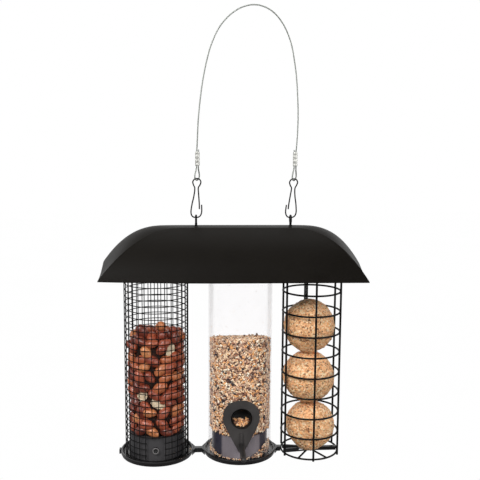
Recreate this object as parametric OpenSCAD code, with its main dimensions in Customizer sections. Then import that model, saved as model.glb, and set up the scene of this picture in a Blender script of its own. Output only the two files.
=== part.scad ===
// Hanging wild-bird feeder: a nut tube of wire mesh, a clear seed tube and a wire cage for fat balls
// stand in one row under an arched roof, and hang by two snap clips from a loop of steel cable.
// Origin: middle of the roof, on the plane under the trays. +Z up, +X along the row, -Y the front.

/* [Row of feeders] */
// Nut tube's axis along the row
nut_x = -86.5; // [-90:0.5:-84]
// Seed tube's axis along the row
seed_x = 9.5; // [6:0.5:12]
// Fat ball cage's axis along the row
cage_x = 91.6; // [90:0.2:96]
// Outer radius of the nut and seed tubes
tube_r = 36.6; // [34:0.1:37]
// Top of the nut and seed tubes
tube_top = 238; // [225:1:239]

/* [Roof] */
// Half of the roof's length
roof_half = 144.5; // [140:0.5:155]
// Half of the roof's depth, front to back
roof_depth = 60; // [58:1:66]
// Height of the long rims at their middle
rim_z = 213.4; // [208:0.2:215]
// Height of the edges that run along the top strip
strip_z = 266; // [264:0.5:268]
// Height of the ridge
ridge_z = 267.3; // [266.5:0.1:269]
// Half of the flat top strip's width
strip_half = 12.8; // [10:0.2:16]
// Sheet thickness
sheet_t = 1.2; // [1:0.1:1.6]

/* [Trays and cups] */
// Outer radius of the trays
tray_r = 42; // [42:0.5:44]
// Height of the tray's rim
tray_h = 6; // [5:0.5:7]
// Outer radius of the cup that the tube stands around
cup_r = 32; // [30:0.5:33]
// Height of the cup
cup_h = 30; // [22:1:32]

/* [Nut mesh] */
// Number of upright wires
mesh_uprights = 30; // [28:1:36]
// Height of one mesh opening
mesh_pitch = 7.1; // [6:0.1:8]
// Wire radius of the mesh
mesh_wire = 0.5; // [0.4:0.05:0.6]

/* [Fat ball cage] */
// Radius of the cage's rings, to the middle of the wire
cage_r = 33; // [32.5:0.5:34]
// Distance from ring to ring
ring_pitch = 23.73; // [22:0.01:23.8]
// Wire radius of the rings
ring_wire = 1.05; // [0.8:0.05:1.1]
// Wire radius of the uprights
upright_wire = 1.2; // [0.9:0.05:1.2]

/* [Feeding ports] */
// Height of the port holes
port_z = 54; // [50:1:60]
// Radius of the port holes
port_r = 12; // [10:0.5:12.5]
// Radius of the round head of the port plate
plate_r = 21; // [18:0.1:22]
// Length of the perches
perch_len = 41; // [30:1:45]
// Radius of the perches
perch_r = 3.2; // [2.5:0.1:3.5]

/* [Hanging gear] */
// Left eye along the row
eye_left_x = -41; // [-45:0.5:-40]
// Right eye along the row
eye_right_x = 65.7; // [62:0.1:68]
// Middle of the clip's bottom bend, where the feeder swings
clip_bottom_z = 276.25; // [276:0.05:277]
// Middle of the clip's top eye wire, where the clip swings
clip_top_z = 319.8; // [318:0.1:321]
// Radius of the clip wire
clip_wire = 0.75; // [0.6:0.05:0.8]
// Radius of the steel cable
cable_wire = 0.8; // [0.7:0.05:0.9]

/* [Food] */
// Height of the nuts at the middle of the heap
nuts_top = 154; // [100:1:180]
// Height of the seed at the front of its tube
seed_top = 145; // [100:1:180]
// How steeply the seed falls to the back of its tube, in degrees
seed_slope = 11; // [0:1:15]
// Radii of the fat balls, lowest first
ball_r = [28.7, 29.8, 29.8]; // [27:0.1:31]

/* [Hidden] */

$fn = 48;
gap = 0.05;

black = [0.07, 0.07, 0.075];
roof_black = [0.14, 0.13, 0.12];
steel = [0.62, 0.63, 0.64];

// ---------------------------------------------------------------- sweeping a wire along a route

function unit(v) = v / norm(v);

// A smooth curve through four neighbouring points, at t from 0 to 1 between the middle two.
function curve_at(a, b, c, d, t) =
  0.5 * (2 * b + (c - a) * t + (2 * a - 5 * b + 4 * c - d) * t * t
         + (3 * b - a - 3 * c + d) * t * t * t);

function smooth_route(p, steps) = let (last = len(p) - 1) concat(
  [for (i = [0:last - 1], s = [0:steps - 1])
     curve_at(p[max(i - 1, 0)], p[i], p[i + 1], p[min(i + 2, last)], s / steps)],
  [p[last]]);

// One ring of the wire, square to the route. The route never runs along Y.
function wire_ring(p, dir, r, sides) =
  let (side = unit(cross(dir, [0, 1, 0])), up = cross(side, dir))
  [for (k = [0:sides - 1])
     p + r * cos(360 * k / sides) * side + r * sin(360 * k / sides) * up];

module wire(route, r) {
  sides = 8;
  p = smooth_route(route, 3);
  last = len(p) - 1;
  rings = [for (i = [0:last])
    wire_ring(p[i], unit(p[min(i + 1, last)] - p[max(i - 1, 0)]), r, sides)];
  points = [for (ring = rings, q = ring) q];
  walls = [for (i = [0:last - 1], k = [0:sides - 1], half = [0, 1])
    let (n = (k + 1) % sides, a = i * sides, b = a + sides)
    half == 0 ? [a + k, b + k, b + n] : [a + k, b + n, a + n]];
  ends = [
    [for (k = [0:sides - 1]) k],
    [for (k = [sides - 1:-1:0]) last * sides + k]
  ];
  polyhedron(points, concat(walls, ends), convexity = 8);
}

// ---------------------------------------------------------------- cable loop and its ends

// Heights of the ferrules, and how far the left and right ones stand from their eyes.
ferrule_low = 334;
ferrule_high = 349.5;
ferrule_left_x = -39.4;
ferrule_right_x = 69.9;

// The route of the cable from ferrule to ferrule.
cable_route = [
  [-40.2, 0, 349.6], [-39.4, 0, 365], [-38.5, 0, 384], [-36.5, 0, 405], [-33.5, 0, 427],
  [-29.5, 0, 447], [-24.5, 0, 465], [-16.5, 0, 482.5], [-7, 0, 494.5], [3, 0, 502.5],
  [13, 0, 507], [22.5, 0, 508.5], [32, 0, 507], [42, 0, 502], [51, 0, 493], [58.5, 0, 480.5],
  [64, 0, 465.5], [67.5, 0, 448], [70, 0, 430], [71.5, 0, 410], [72.3, 0, 391], [72, 0, 370],
  [70.7, 0, 349.6]
];

module hang_wire() {
  color(steel) wire(cable_route, cable_wire);
}

// The small loop below a ferrule, seen from the ferrule's own middle.
eye_head = ferrule_low - 0.2;
eye_foot = 318;
eye_route = [
  [-1, 0, eye_head], [-1.3, -0.6, 330], [-2.2, -2.3, 325.5], [-2.5, -2.9, 322],
  [-1.7, -2, 319.2], [0, 0, eye_foot], [1.7, 2, 319.2], [2.5, 2.9, 322], [2.2, 2.3, 325.5],
  [1.3, 0.6, 330], [1, 0, eye_head]
];

// Leans a route sideways so that its foot is at x_low and its head at x_high.
function leaning(route, x_low, z_low, x_high, z_high) = [for (p = route)
  [p[0] + x_low + (x_high - x_low) * (p[2] - z_low) / (z_high - z_low), p[1], p[2]]];

clip_left_head = -40;
clip_right_head = 68.8;

module wire_eye_left() {
  color(steel)
    wire(leaning(eye_route, clip_left_head, eye_foot, ferrule_left_x, ferrule_low), cable_wire);
}

module wire_eye_right() {
  color(steel)
    wire(leaning(eye_route, clip_right_head, eye_foot, ferrule_right_x, ferrule_low), cable_wire);
}

// An oval sleeve with both strands side by side in it.
module ferrule(x) {
  half = 0.95;
  r = 1.6;
  h = ferrule_high - ferrule_low;
  color([0.75, 0.75, 0.76]) translate([x, 0, ferrule_low]) {
    for (side = [-1, 1]) translate([side * half, 0, 0]) cylinder(h = h, r = r);
    translate([-half, -r + gap, 0]) cube([2 * half, 2 * r - 2 * gap, h]);
  }
}

module ferrule_left() ferrule(ferrule_left_x);

module ferrule_right() ferrule(ferrule_right_x);

// ---------------------------------------------------------------- snap clips

// The clip's wire, from the end of its gate leg over the top eye and down to the tip of the hook.
clip_route = [
  [3.5, 0, 285.6], [3.2, 0, 292.4], [2.3, 0, 302.3], [1.8, 0, 309.2], [3.5, 0, 312.6],
  [4.5, 0, 316], [2.8, 0, 319.1], [0, 0, clip_top_z], [-2.8, 0, 319.1], [-4.5, 0, 316],
  [-3.6, 0, 312.6], [-2.1, 0, 308.6], [-3, 0, 299.9], [-4.8, 0, 291.2], [-5.8, 0, 282],
  [-4, 0, 277.4], [0, 0, clip_bottom_z], [4, 0, 277.4], [6.1, 0, 282], [5.9, 0, 290.5]
];

module clip_left() {
  color(black)
    wire(leaning(clip_route, eye_left_x, clip_bottom_z, clip_left_head, clip_top_z), clip_wire);
}

module clip_right() {
  mirrored = [for (i = [len(clip_route) - 1:-1:0]) [-clip_route[i][0], 0, clip_route[i][2]]];
  color(black)
    wire(leaning(mirrored, eye_right_x, clip_bottom_z, clip_right_head, clip_top_z), clip_wire);
}

// ---------------------------------------------------------------- roof

// The front and back panels are bowed: an arc from the long rim to the top strip.
panel_chord = norm([roof_depth - strip_half, strip_z - rim_z]);
panel_bulge = 7;
panel_r = (pow(panel_chord, 2) / 4 + pow(panel_bulge, 2)) / (2 * panel_bulge);
panel_out = [strip_z - rim_z, roof_depth - strip_half] / panel_chord;
panel_mid = [(roof_depth + strip_half) / 2, (rim_z + strip_z) / 2]
  - panel_out * (panel_r - panel_bulge);

function panel_y(z) =
  panel_mid[0] + sqrt(pow(panel_r, 2) - pow(z - panel_mid[1], 2));

// The long rims rise a little towards the ends.
rim_rise = 1.8;
function rim(x) = rim_z + rim_rise * pow(x / roof_half, 2);

// The edge between panel and strip, and the middle line of the strip, fall towards the ends:
// over how long a run, how suddenly, and to what height above the rim.
crease_run = 84;
crease_power = 2.4;
crease_end = 1;
spine_run = 71;
spine_power = 2.7;
spine_end = 12.6;

function falling(x, run) = max(1 - (roof_half - abs(x)) / run, 0);

function crease_z(x) =
  strip_z - (strip_z - rim(x) - crease_end) * pow(falling(x, crease_run), crease_power);

function spine_z(x) =
  ridge_z - (ridge_z - rim(x) - spine_end) * pow(falling(x, spine_run), spine_power);

panel_steps = 8;
strip_steps = 12;
stations = 20;

// Outer line of the roof across the row at x, from the front rim over the top to the back rim.
function roof_line(x) =
  let (low = rim(x), edge = crease_z(x), top = spine_z(x), half = panel_y(edge))
  concat(
    [for (k = [0:panel_steps - 1]) let (z = low + (edge - low) * k / panel_steps)
       [-panel_y(z), z, k / panel_steps]],
    [for (k = [-strip_steps / 2:strip_steps / 2]) let (s = 2 * k / strip_steps)
       [half * s, edge + (top - edge) * (1 - s * s), 1]],
    [for (k = [panel_steps - 1:-1:0]) let (z = low + (edge - low) * k / panel_steps)
       [panel_y(z), z, k / panel_steps]]
  );

// The inner line: each point moves in by the sheet's thickness, less of it downwards at the rim.
function roof_lining(line) = [for (p = line)
  [p[0] * (abs(p[0]) - sheet_t * min(abs(p[0]) / strip_half, 1)) / max(abs(p[0]), 0.01),
   p[1] - sheet_t * p[2]]];

function roof_station(x) =
  let (line = roof_line(x), inner = roof_lining(line), n = len(line),
       x_in = x * (roof_half - sheet_t) / roof_half)
  concat(
    [for (p = line) [x, p[0], p[1]]],
    [for (i = [n - 1:-1:0]) [x_in, inner[i][0], inner[i][1]]]
  );

module roof_sheet() {
  loops = [for (i = [-stations:stations]) roof_station(roof_half * sin(90 * i / stations))];
  m = len(loops[0]);
  last = len(loops) - 1;
  walls = [for (i = [0:last - 1], k = [0:m - 1], half = [0, 1])
    let (n = (k + 1) % m, a = i * m + k, b = i * m + n, c = (i + 1) * m + n, d = (i + 1) * m + k)
    half == 0 ? [a, b, c] : [a, c, d]];
  ends = [for (i = [0, last], k = [0:m / 2 - 2], half = [0, 1])
    let (a = i * m + k, b = a + 1, c = i * m + m - 2 - k, d = c + 1,
         f = half == 0 ? [a, c, b] : [a, d, c])
    i == 0 ? f : [f[0], f[2], f[1]]];
  polyhedron([for (l = loops, p = l) p], concat(walls, ends), convexity = 10);
}

// Slots across the ridge let the eyes through when the roof lifts off.
slot_w = 3.6;
slot_l = 12;

module roof_shell() {
  color(roof_black) difference() {
    roof_sheet();
    for (x = [eye_left_x, eye_right_x])
      translate([x - slot_w / 2, -slot_l / 2, ridge_z - 10]) cube([slot_w, slot_l, 20]);
  }
}

// ---------------------------------------------------------------- frame under the roof

eye_wire = 1.2;
eye_r = 4.15;
eye_z = clip_bottom_z + clip_wire + 0.1 + eye_wire - eye_r;
rod_r = 1.4;
bar_z = 241.5;
bar_t = 2.5;
bar_w = 8;
rail_y = 40;
rail_r = 1.9;
rail_z = bar_z - rail_r - gap;

module eye_rod(x) {
  color(black) {
    translate([x, 0, eye_z]) rotate([0, 90, 0])
      rotate_extrude() translate([eye_r, 0]) circle(r = eye_wire);
    translate([x, 0, bar_z + bar_t + gap]) cylinder(h = eye_z - eye_r - bar_z - bar_t, r = rod_r);
  }
}

module eye_rod_left() eye_rod(eye_left_x);

module eye_rod_right() eye_rod(eye_right_x);

// A washer on the rod carries the roof.
module roof_rest(x) {
  thick = 1.6;
  color(steel) translate([x, 0, ridge_z - sheet_t - 0.5 - thick]) difference() {
    cylinder(h = thick, r = 5.5);
    translate([0, 0, -1]) cylinder(h = thick + 2, r = rod_r + gap);
  }
}

module roof_rest_left() roof_rest(eye_left_x);

module roof_rest_right() roof_rest(eye_right_x);

module cross_bar(x) {
  color(black) translate([x - bar_w / 2, -rail_y, bar_z]) cube([bar_w, 2 * rail_y, bar_t]);
}

module cross_bar_left() cross_bar(eye_left_x);

module cross_bar_right() cross_bar(eye_right_x);

module top_rails() {
  color(black) for (side = [-1, 1])
    translate([nut_x - 8, side * rail_y, rail_z]) rotate([0, 90, 0])
      cylinder(h = cage_x + 8 - nut_x + 8, r = rail_r);
}

// A band round the top of a tube, held between the rails.
module collar(x) {
  inner = tube_r + 0.1;
  band_h = 9;
  color(black) translate([x, 0, tube_top - band_h]) difference() {
    cylinder(h = band_h, r = rail_y - rail_r - gap);
    translate([0, 0, -1]) cylinder(h = band_h + 2, r = inner);
  }
}

module nut_collar() collar(nut_x);

module seed_collar() collar(seed_x);

// ---------------------------------------------------------------- trays with their cups

tray_floor = 2.6;
wall = 1.8;
boss_z = 17;
boss_r = 3.65;
boss_bore = 1.9;

// A tray with an upstand in its middle, hollow from below.
module base(x) {
  color(black) translate([x, 0, 0]) rotate_extrude($fn = 72) difference() {
    union() {
      polygon([
        [0, 0], [tray_r - 3, 0], [tray_r - 0.9, 0.9], [tray_r, 3], [tray_r, tray_h - 0.8],
        [tray_r - 0.8, tray_h], [tray_r - 1.9, tray_h], [tray_r - 2.7, tray_h - 1],
        [tray_r - 3.4, tray_floor + 0.6], [tray_r - 4.4, tray_floor], [0, tray_floor]
      ]);
      square([cup_r, cup_h]);
    }
    square([cup_r - wall, cup_h - wall]);
  }
}

// The cut-out in the mesh's foot that clears the boss.
cut_half = 10;
cut_top = 31;

module nut_base() {
  color(black) difference() {
    union() {
      base(nut_x);
      translate([nut_x, -cup_r + 1, boss_z]) rotate([90, 0, 0]) cylinder(h = 5, r = boss_r);
    }
    translate([nut_x, -cup_r - 2, boss_z]) rotate([90, 0, 0]) cylinder(h = 5, r = boss_bore);
  }
}

// A stud in the boss, set back in its hole.
module lock_stud() {
  color(steel) translate([nut_x, -cup_r - 2.1, boss_z]) rotate([90, 0, 0])
    cylinder(h = 1.2, r = boss_bore - gap);
}

module seed_base() base(seed_x);

// ---------------------------------------------------------------- nut mesh

mesh_foot = tray_floor + 0.2;
upright_mesh_r = tube_r - mesh_wire;
ring_mesh_r = upright_mesh_r - 2 * mesh_wire - gap;
mesh_rings = floor((tube_top - mesh_foot - 1) / mesh_pitch);

module mesh_cut() {
  translate([nut_x - cut_half, -tube_r - 5, -1]) cube([2 * cut_half, 20, cut_top + 1]);
}

module nut_mesh_uprights() {
  color(black) for (k = [0:mesh_uprights - 1])
    let (a = -90 + 360 * (k + 0.5) / mesh_uprights,
         cut = sin(a) < 0 && abs(upright_mesh_r * cos(a)) < cut_half,
         foot = cut ? cut_top : mesh_foot)
    translate([nut_x + upright_mesh_r * cos(a), upright_mesh_r * sin(a), foot])
      cylinder(h = tube_top - foot, r = mesh_wire, $fn = 24);
}

// The mesh's rings are many and thin, so their wire is eight-sided.
module nut_mesh_rings() {
  section = [for (a = [22.5:45:337.5]) [ring_mesh_r + mesh_wire * cos(a), mesh_wire * sin(a)]];
  color(black) difference() {
    for (k = [0:mesh_rings])
      translate([nut_x, 0, mesh_foot + 0.7 + k * mesh_pitch])
        rotate_extrude($fn = 72) polygon(section);
    mesh_cut();
  }
}

// ---------------------------------------------------------------- seed tube, ports and perches

tube_wall = 1.2;
plate_t = 2.2;
neck_r = port_r + 1.2;
neck_in = 15;

module port_hole(r, from, to) {
  translate([seed_x, from, port_z]) rotate([-90, 0, 0]) cylinder(h = to - from, r = r);
}

module seed_tube() {
  color([0.85, 0.87, 0.88, 0.35]) difference() {
    translate([seed_x, 0, tray_floor + 0.1])
      cylinder(h = tube_top - tray_floor - 0.1, r = tube_r, $fn = 96);
    translate([seed_x, 0, 0]) cylinder(h = tube_top + 5, r = tube_r - tube_wall, $fn = 96);
    port_hole(neck_r + gap, -tube_r - 5, tube_r + 5);
  }
}

tip_r = 4;
tip_z = 18;

// Outline of the port plate: a round head drawn down to a small round tip.
module teardrop() {
  drop = port_z - tip_z;
  lean = asin((plate_r - tip_r) / drop);
  across = cos(lean);
  rise = sin(lean);
  circle(r = plate_r, $fn = 96);
  translate([0, -drop]) circle(r = tip_r);
  polygon([
    [plate_r * across, -plate_r * rise], [-plate_r * across, -plate_r * rise],
    [-tip_r * across, -drop - tip_r * rise], [tip_r * across, -drop - tip_r * rise]
  ]);
}

perch_z = 23;
perch_root = tube_r + plate_t;
rib_w = 2.2;
rib_out = 2.2;
rib_h = 11.5;
notch_r = 1.6;
hood_in = 3.5;

// The plate hugs the tube, its neck goes in through the wall, and a hood over the neck
// keeps the seed from running out.
module port() {
  color([0.2, 0.2, 0.2]) translate([seed_x, 0, 0]) difference() {
    union() {
      intersection() {
        translate([0, -tube_r + 12, port_z]) rotate([90, 0, 0]) linear_extrude(20) teardrop();
        difference() {
          cylinder(h = 90, r = tube_r + plate_t, $fn = 96);
          translate([0, 0, -1]) cylinder(h = 92, r = tube_r + gap, $fn = 96);
        }
      }
      translate([0, -tube_r + neck_in, port_z]) rotate([90, 0, 0])
        cylinder(h = neck_in + 0.8, r = neck_r - gap);
      translate([-rib_w / 2, -perch_root - rib_out, perch_z + perch_r + 0.3])
        cube([rib_w, rib_out + plate_t / 4, rib_h]);
    }
    translate([0, -tube_r + neck_in + 1, port_z]) rotate([90, 0, 0]) cylinder(h = 40, r = port_r);
    translate([-neck_r - 1, -tube_r + hood_in, port_z - neck_r - 1])
      cube([2 * neck_r + 2, neck_in, neck_r + 1]);
    for (side = [-1, 1])
      translate([side * (plate_r + 0.4), -tube_r - 10, port_z + 2]) rotate([-90, 0, 0])
        cylinder(h = 20, r = notch_r);
  }
}

module port_front() port();

module port_back() translate([2 * seed_x, 0, 0]) rotate([0, 0, 180]) port();

module perch() {
  color([0.1, 0.1, 0.1]) translate([seed_x, -perch_root - gap, perch_z]) rotate([90, 0, 0])
    rotate_extrude() polygon([
      [0, 0], [perch_r + 0.2, 0], [perch_r, 6], [perch_r, perch_len - 3],
      [perch_r - 0.8, perch_len - 1], [perch_r - 2, perch_len], [0, perch_len]
    ]);
}

module perch_front() perch();

module perch_back() translate([2 * seed_x, 0, 0]) rotate([0, 0, 180]) perch();

// ---------------------------------------------------------------- links between the three

link_w = 6;
link_t = 5.2;
link_z = 0.4;
link_reach = 2.2;
spread_share = 0.65;

// A strap from one tray to the next. Where it meets a tray it spreads along the tray's edge.
module link(from, to) {
  translate([0, 0, link_z]) linear_extrude(link_t)
    translate([from, -link_w / 2]) square([to - from, link_w]);
}

module spread(x, side) {
  tip = [tray_r + link_reach, link_w / 2];
  lean = atan(tip[1] / tip[0]) + spread_share * acos(tray_r / norm(tip));
  foot = tray_r * [cos(lean), sin(lean)];
  translate([x, 0, link_z]) linear_extrude(link_t) polygon([
    [side * foot[0], foot[1]], [side * tip[0], tip[1]],
    [side * tip[0], -tip[1]], [side * foot[0], -foot[1]]
  ]);
}

module tray_room(x) {
  translate([x, 0, -1]) cylinder(h = tray_h + 3, r = tray_r + gap, $fn = 96);
}

module link_left() {
  color(black) difference() {
    union() {
      link(nut_x + tray_r - 1, seed_x - tray_r + 1);
      spread(nut_x, 1);
      spread(seed_x, -1);
    }
    tray_room(nut_x);
    tray_room(seed_x);
  }
}

module link_right() {
  color(black) difference() {
    union() {
      link(seed_x + tray_r - 1, cage_x - cage_r + 0.5);
      spread(seed_x, 1);
    }
    tray_room(seed_x);
    translate([cage_x, 0, 0]) cylinder(h = tray_h + 3, r = cage_r + ring_wire + gap, $fn = 96);
  }
}

// The free end of the row keeps its lug.
module link_end() {
  color(black) difference() {
    link(nut_x - tray_r - 1.8, nut_x - tray_r + 1);
    tray_room(nut_x);
  }
}

// ---------------------------------------------------------------- fat ball cage

ring_low = 2.2;
ring_count = 11;
cage_top = ring_low + ring_pitch * (ring_count - 1) + ring_wire;
upright_r = cage_r + ring_wire + upright_wire + gap;
beside = 2 * asin((upright_wire + gap) / upright_r);

// Each ring is welded up from bends that meet behind the uprights.
module cage_rings() {
  color(black) for (k = [0:ring_count - 1], a = [0:60:300])
    translate([cage_x, 0, ring_low + k * ring_pitch]) rotate([0, 0, a + 30.1])
      rotate_extrude(angle = 59.8, $fn = 96) translate([cage_r, 0]) circle(r = ring_wire, $fn = 24);
}

// Six uprights, and a second wire beside the one at the back, where the cage closes.
module cage_uprights() {
  color(black) for (a = concat([for (k = [0:5]) 30 + 60 * k], [90 + beside]))
    translate([cage_x + upright_r * cos(a), upright_r * sin(a), ring_low - ring_wire])
      cylinder(h = cage_top - ring_low + ring_wire, r = upright_wire, $fn = 24);
}

floor_reach = cage_r - ring_wire - gap;

module cage_floor() {
  color(black) for (a = [60, 120])
    translate([cage_x, 0, ring_low]) rotate([0, 0, a]) rotate([0, 90, 0])
      translate([0, 0, -floor_reach]) cylinder(h = 2 * floor_reach, r = ring_wire, $fn = 24);
}

// A bar across the foot: forked towards the trays, plain at the outer end. Its thin sole runs
// below the floor's crossing wires, and its thick ends stand beside them.
module cage_bar() {
  half = 2.1;
  fork = 7.4;
  rail = 2.2;
  sole = ring_low - ring_wire - gap;
  thick = 4.4;
  clear_x = 9.5;
  color(black) translate([cage_x, 0, 0]) {
    linear_extrude(sole) {
      translate([-2, -half]) square([floor_reach + 1.9, 2 * half]);
      for (side = [-1, 1])
        polygon([
          [2, side * 0.2], [2, side * (0.2 + rail)],
          [-floor_reach * 0.97, side * fork], [-floor_reach * 0.97, side * (fork - rail)]
        ]);
    }
    linear_extrude(thick) {
      translate([clear_x, -half]) square([floor_reach - clear_x - 0.1, 2 * half]);
      for (side = [-1, 1])
        polygon([
          [-12, side * 1.9], [-12, side * (1.9 + rail)],
          [-floor_reach * 0.97, side * fork], [-floor_reach * 0.97, side * (fork - rail)]
        ]);
    }
  }
}

// ---------------------------------------------------------------- food

module peanuts() {
  r = ring_mesh_r - mesh_wire - 0.5;
  foot = cup_h + 0.2;
  color([0.5, 0.25, 0.17]) translate([nut_x, 0, foot]) rotate_extrude() polygon([
    [0, 0], [r, 0], [r, nuts_top - foot - 9], [r * 0.75, nuts_top - foot - 3],
    [r * 0.35, nuts_top - foot], [0, nuts_top - foot]
  ]);
}

module seed_mix() {
  r = tube_r - tube_wall - 0.3;
  foot = cup_h + 0.2;
  color([0.72, 0.5, 0.3]) difference() {
    translate([seed_x, 0, foot]) cylinder(h = seed_top - foot, r = r);
    translate([seed_x - tube_r, -r, seed_top]) rotate([-seed_slope, 0, 0])
      cube([2 * tube_r, 3 * tube_r, tube_r]);
    port_hole(neck_r + 0.3, -tube_r, -tube_r + neck_in + 0.5);
    port_hole(neck_r + 0.3, tube_r - neck_in - 0.5, tube_r);
  }
}

// Each ball rests on the one below, a little off the middle.
ball_off = [1, -2.1, -2.1];
ball_foot = ring_low + ring_wire + 0.1;
ball_z = [
  ball_foot + ball_r[0],
  ball_foot + 2 * ball_r[0] + 0.1 + ball_r[1],
  ball_foot + 2 * ball_r[0] + 2 * ball_r[1] + 0.2 + ball_r[2]
];

module fat_ball(i) {
  color([0.78, 0.58, 0.38]) translate([cage_x + ball_off[i], 0, ball_z[i]])
    sphere(r = ball_r[i]);
}

module fat_ball_1() fat_ball(0);

module fat_ball_2() fat_ball(1);

module fat_ball_3() fat_ball(2);

// ---------------------------------------------------------------- the parts

hang_wire();
wire_eye_left();
wire_eye_right();
ferrule_left();
ferrule_right();
clip_left();
clip_right();
roof_shell();
eye_rod_left();
eye_rod_right();
roof_rest_left();
roof_rest_right();
cross_bar_left();
cross_bar_right();
top_rails();
nut_collar();
seed_collar();
nut_mesh_uprights();
nut_mesh_rings();
nut_base();
lock_stud();
seed_tube();
seed_base();
port_front();
port_back();
perch_front();
perch_back();
link_left();
link_right();
link_end();
cage_rings();
cage_uprights();
cage_floor();
cage_bar();
peanuts();
seed_mix();
fat_ball_1();
fat_ball_2();
fat_ball_3();
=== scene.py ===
"""Looks of the hanging bird feeder: roof, tubes, cage, food, clips and cable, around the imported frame.

Lengths are in millimetres in the tables of sizes and in metres everywhere else.
"""
import math

import bpy
import numpy as np
from mathutils import Matrix, Vector


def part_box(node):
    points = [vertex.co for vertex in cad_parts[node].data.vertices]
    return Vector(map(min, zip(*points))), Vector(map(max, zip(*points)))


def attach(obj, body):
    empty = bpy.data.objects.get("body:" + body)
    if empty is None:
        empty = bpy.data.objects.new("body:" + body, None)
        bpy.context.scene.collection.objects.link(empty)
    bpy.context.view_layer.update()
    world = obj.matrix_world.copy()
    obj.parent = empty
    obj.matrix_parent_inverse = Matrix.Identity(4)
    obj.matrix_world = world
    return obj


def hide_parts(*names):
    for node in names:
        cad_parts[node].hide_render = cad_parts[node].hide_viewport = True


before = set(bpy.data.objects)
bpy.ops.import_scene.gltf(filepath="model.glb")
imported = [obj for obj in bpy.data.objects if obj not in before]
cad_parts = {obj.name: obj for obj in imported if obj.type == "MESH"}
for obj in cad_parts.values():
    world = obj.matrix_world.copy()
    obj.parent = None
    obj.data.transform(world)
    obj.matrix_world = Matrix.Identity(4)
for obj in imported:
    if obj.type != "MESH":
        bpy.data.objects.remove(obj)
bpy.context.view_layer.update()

MM = 0.001

# ---------------------------------------- sizes, as in the design

NUT_X, SEED_X, TUBE_R = -86.5 * MM, 9.5 * MM, 36.6 * MM
EYE_LEFT_X, EYE_RIGHT_X = -41 * MM, 65.7 * MM
CLIP_BOTTOM_Z, CLIP_TOP_Z = 276.25 * MM, 319.8 * MM
CLIP_LEFT_HEAD, CLIP_RIGHT_HEAD = -40 * MM, 68.8 * MM
CLIP_WIRE, CABLE_WIRE = 0.75 * MM, 0.8 * MM
FERRULE_LOW, FERRULE_HIGH = 334 * MM, 349.5 * MM
FERRULE_LEFT_X, FERRULE_RIGHT_X = -39.4 * MM, 69.9 * MM
PORT_Z, NECK_R, NECK_IN = 54 * MM, 13.6 * MM, 16 * MM

# ---------------------------------------- camera

CAMERA_PLACE = Vector((-0.0428, -0.8403, 0.3674))
CAMERA_PITCH, CAMERA_TURN, CAMERA_ROLL = 0.1379, 0.0611, 0.0068
LENS = 56.34

camera_data = bpy.data.cameras.new("camera")
camera_data.lens = LENS
camera_data.sensor_width = 36
camera = bpy.data.objects.new("camera", camera_data)
bpy.context.collection.objects.link(camera)
forward = Vector((math.sin(CAMERA_TURN) * math.cos(CAMERA_PITCH),
                  math.cos(CAMERA_TURN) * math.cos(CAMERA_PITCH), -math.sin(CAMERA_PITCH)))
level_right = forward.cross(Vector((0, 0, 1))).normalized()
level_up = level_right.cross(forward)
right = level_right * math.cos(CAMERA_ROLL) + level_up * math.sin(CAMERA_ROLL)
up = level_up * math.cos(CAMERA_ROLL) - level_right * math.sin(CAMERA_ROLL)
camera.matrix_world = Matrix.Translation(CAMERA_PLACE) @ Matrix(
    (right, up, -forward)).transposed().to_4x4()
bpy.context.scene.camera = camera

# ---------------------------------------- wires swept along a route


def curve_at(a, b, c, d, t):
    """The point at t, from 0 to 1, between b and c on a smooth curve through a, b, c and d."""
    return 0.5 * (2 * b + (c - a) * t + (2 * a - 5 * b + 4 * c - d) * t * t
                  + (3 * b - a - 3 * c + d) * t ** 3)


def smooth_route(points, steps):
    last = len(points) - 1
    out = []
    for i in range(last):
        a, b = points[max(i - 1, 0)], points[i]
        c, d = points[i + 1], points[min(i + 2, last)]
        out += [curve_at(a, b, c, d, s / steps) for s in range(steps)]
    return out + [points[last]]


def metres(route):
    return [Vector(p) * MM for p in route]


def leaning(route, x_low, z_low, x_high, z_high):
    return [Vector((p.x + x_low + (x_high - x_low) * (p.z - z_low) / (z_high - z_low), p.y, p.z))
            for p in route]


def frames_along(path):
    """(direction, side, top) at each point of a path that never runs along Y."""
    last = len(path) - 1
    out = []
    for i in range(last + 1):
        direction = (path[min(i + 1, last)] - path[max(i - 1, 0)]).normalized()
        side = direction.cross(Vector((0, 1, 0))).normalized()
        out.append((direction, side, side.cross(direction)))
    return out


class Shape:
    """Vertices, faces and a colour value for each vertex, gathered from many pieces."""

    def __init__(self):
        self.verts, self.faces, self.tints, self.slots = [], [], [], []

    def add(self, verts, faces, tint=0.0, slot=0):
        base = len(self.verts)
        self.verts += [tuple(v) for v in verts]
        self.faces += [tuple(base + i for i in f) for f in faces]
        self.tints += [tint] * len(verts)
        self.slots += [slot] * len(faces)

    def build(self, name, materials, body, slot_name, replaced=()):
        mesh = bpy.data.meshes.new(name)
        mesh.from_pydata(self.verts, [], self.faces)
        mesh.validate()
        if len(mesh.vertices) == len(self.tints):
            tint = mesh.attributes.new("tint", "FLOAT", "POINT")
            tint.data.foreach_set("value", self.tints)
        for material in materials:
            mesh.materials.append(material)
        if len(mesh.polygons) == len(self.slots):
            mesh.polygons.foreach_set("material_index", self.slots)
        mesh.polygons.foreach_set("use_smooth", [True] * len(mesh.polygons))
        mesh.update()
        piece = bpy.data.objects.new(name, mesh)
        bpy.context.collection.objects.link(piece)
        if replaced:
            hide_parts(*replaced)
        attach(piece, body)
        return piece


def band_faces(around, rows):
    """Quads between rows + 1 rings of points, the rings' points counted round and upwards."""
    return [(j * around + k, j * around + (k + 1) % around, (j + 1) * around + (k + 1) % around,
             (j + 1) * around + k) for j in range(rows) for k in range(around)]


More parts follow.
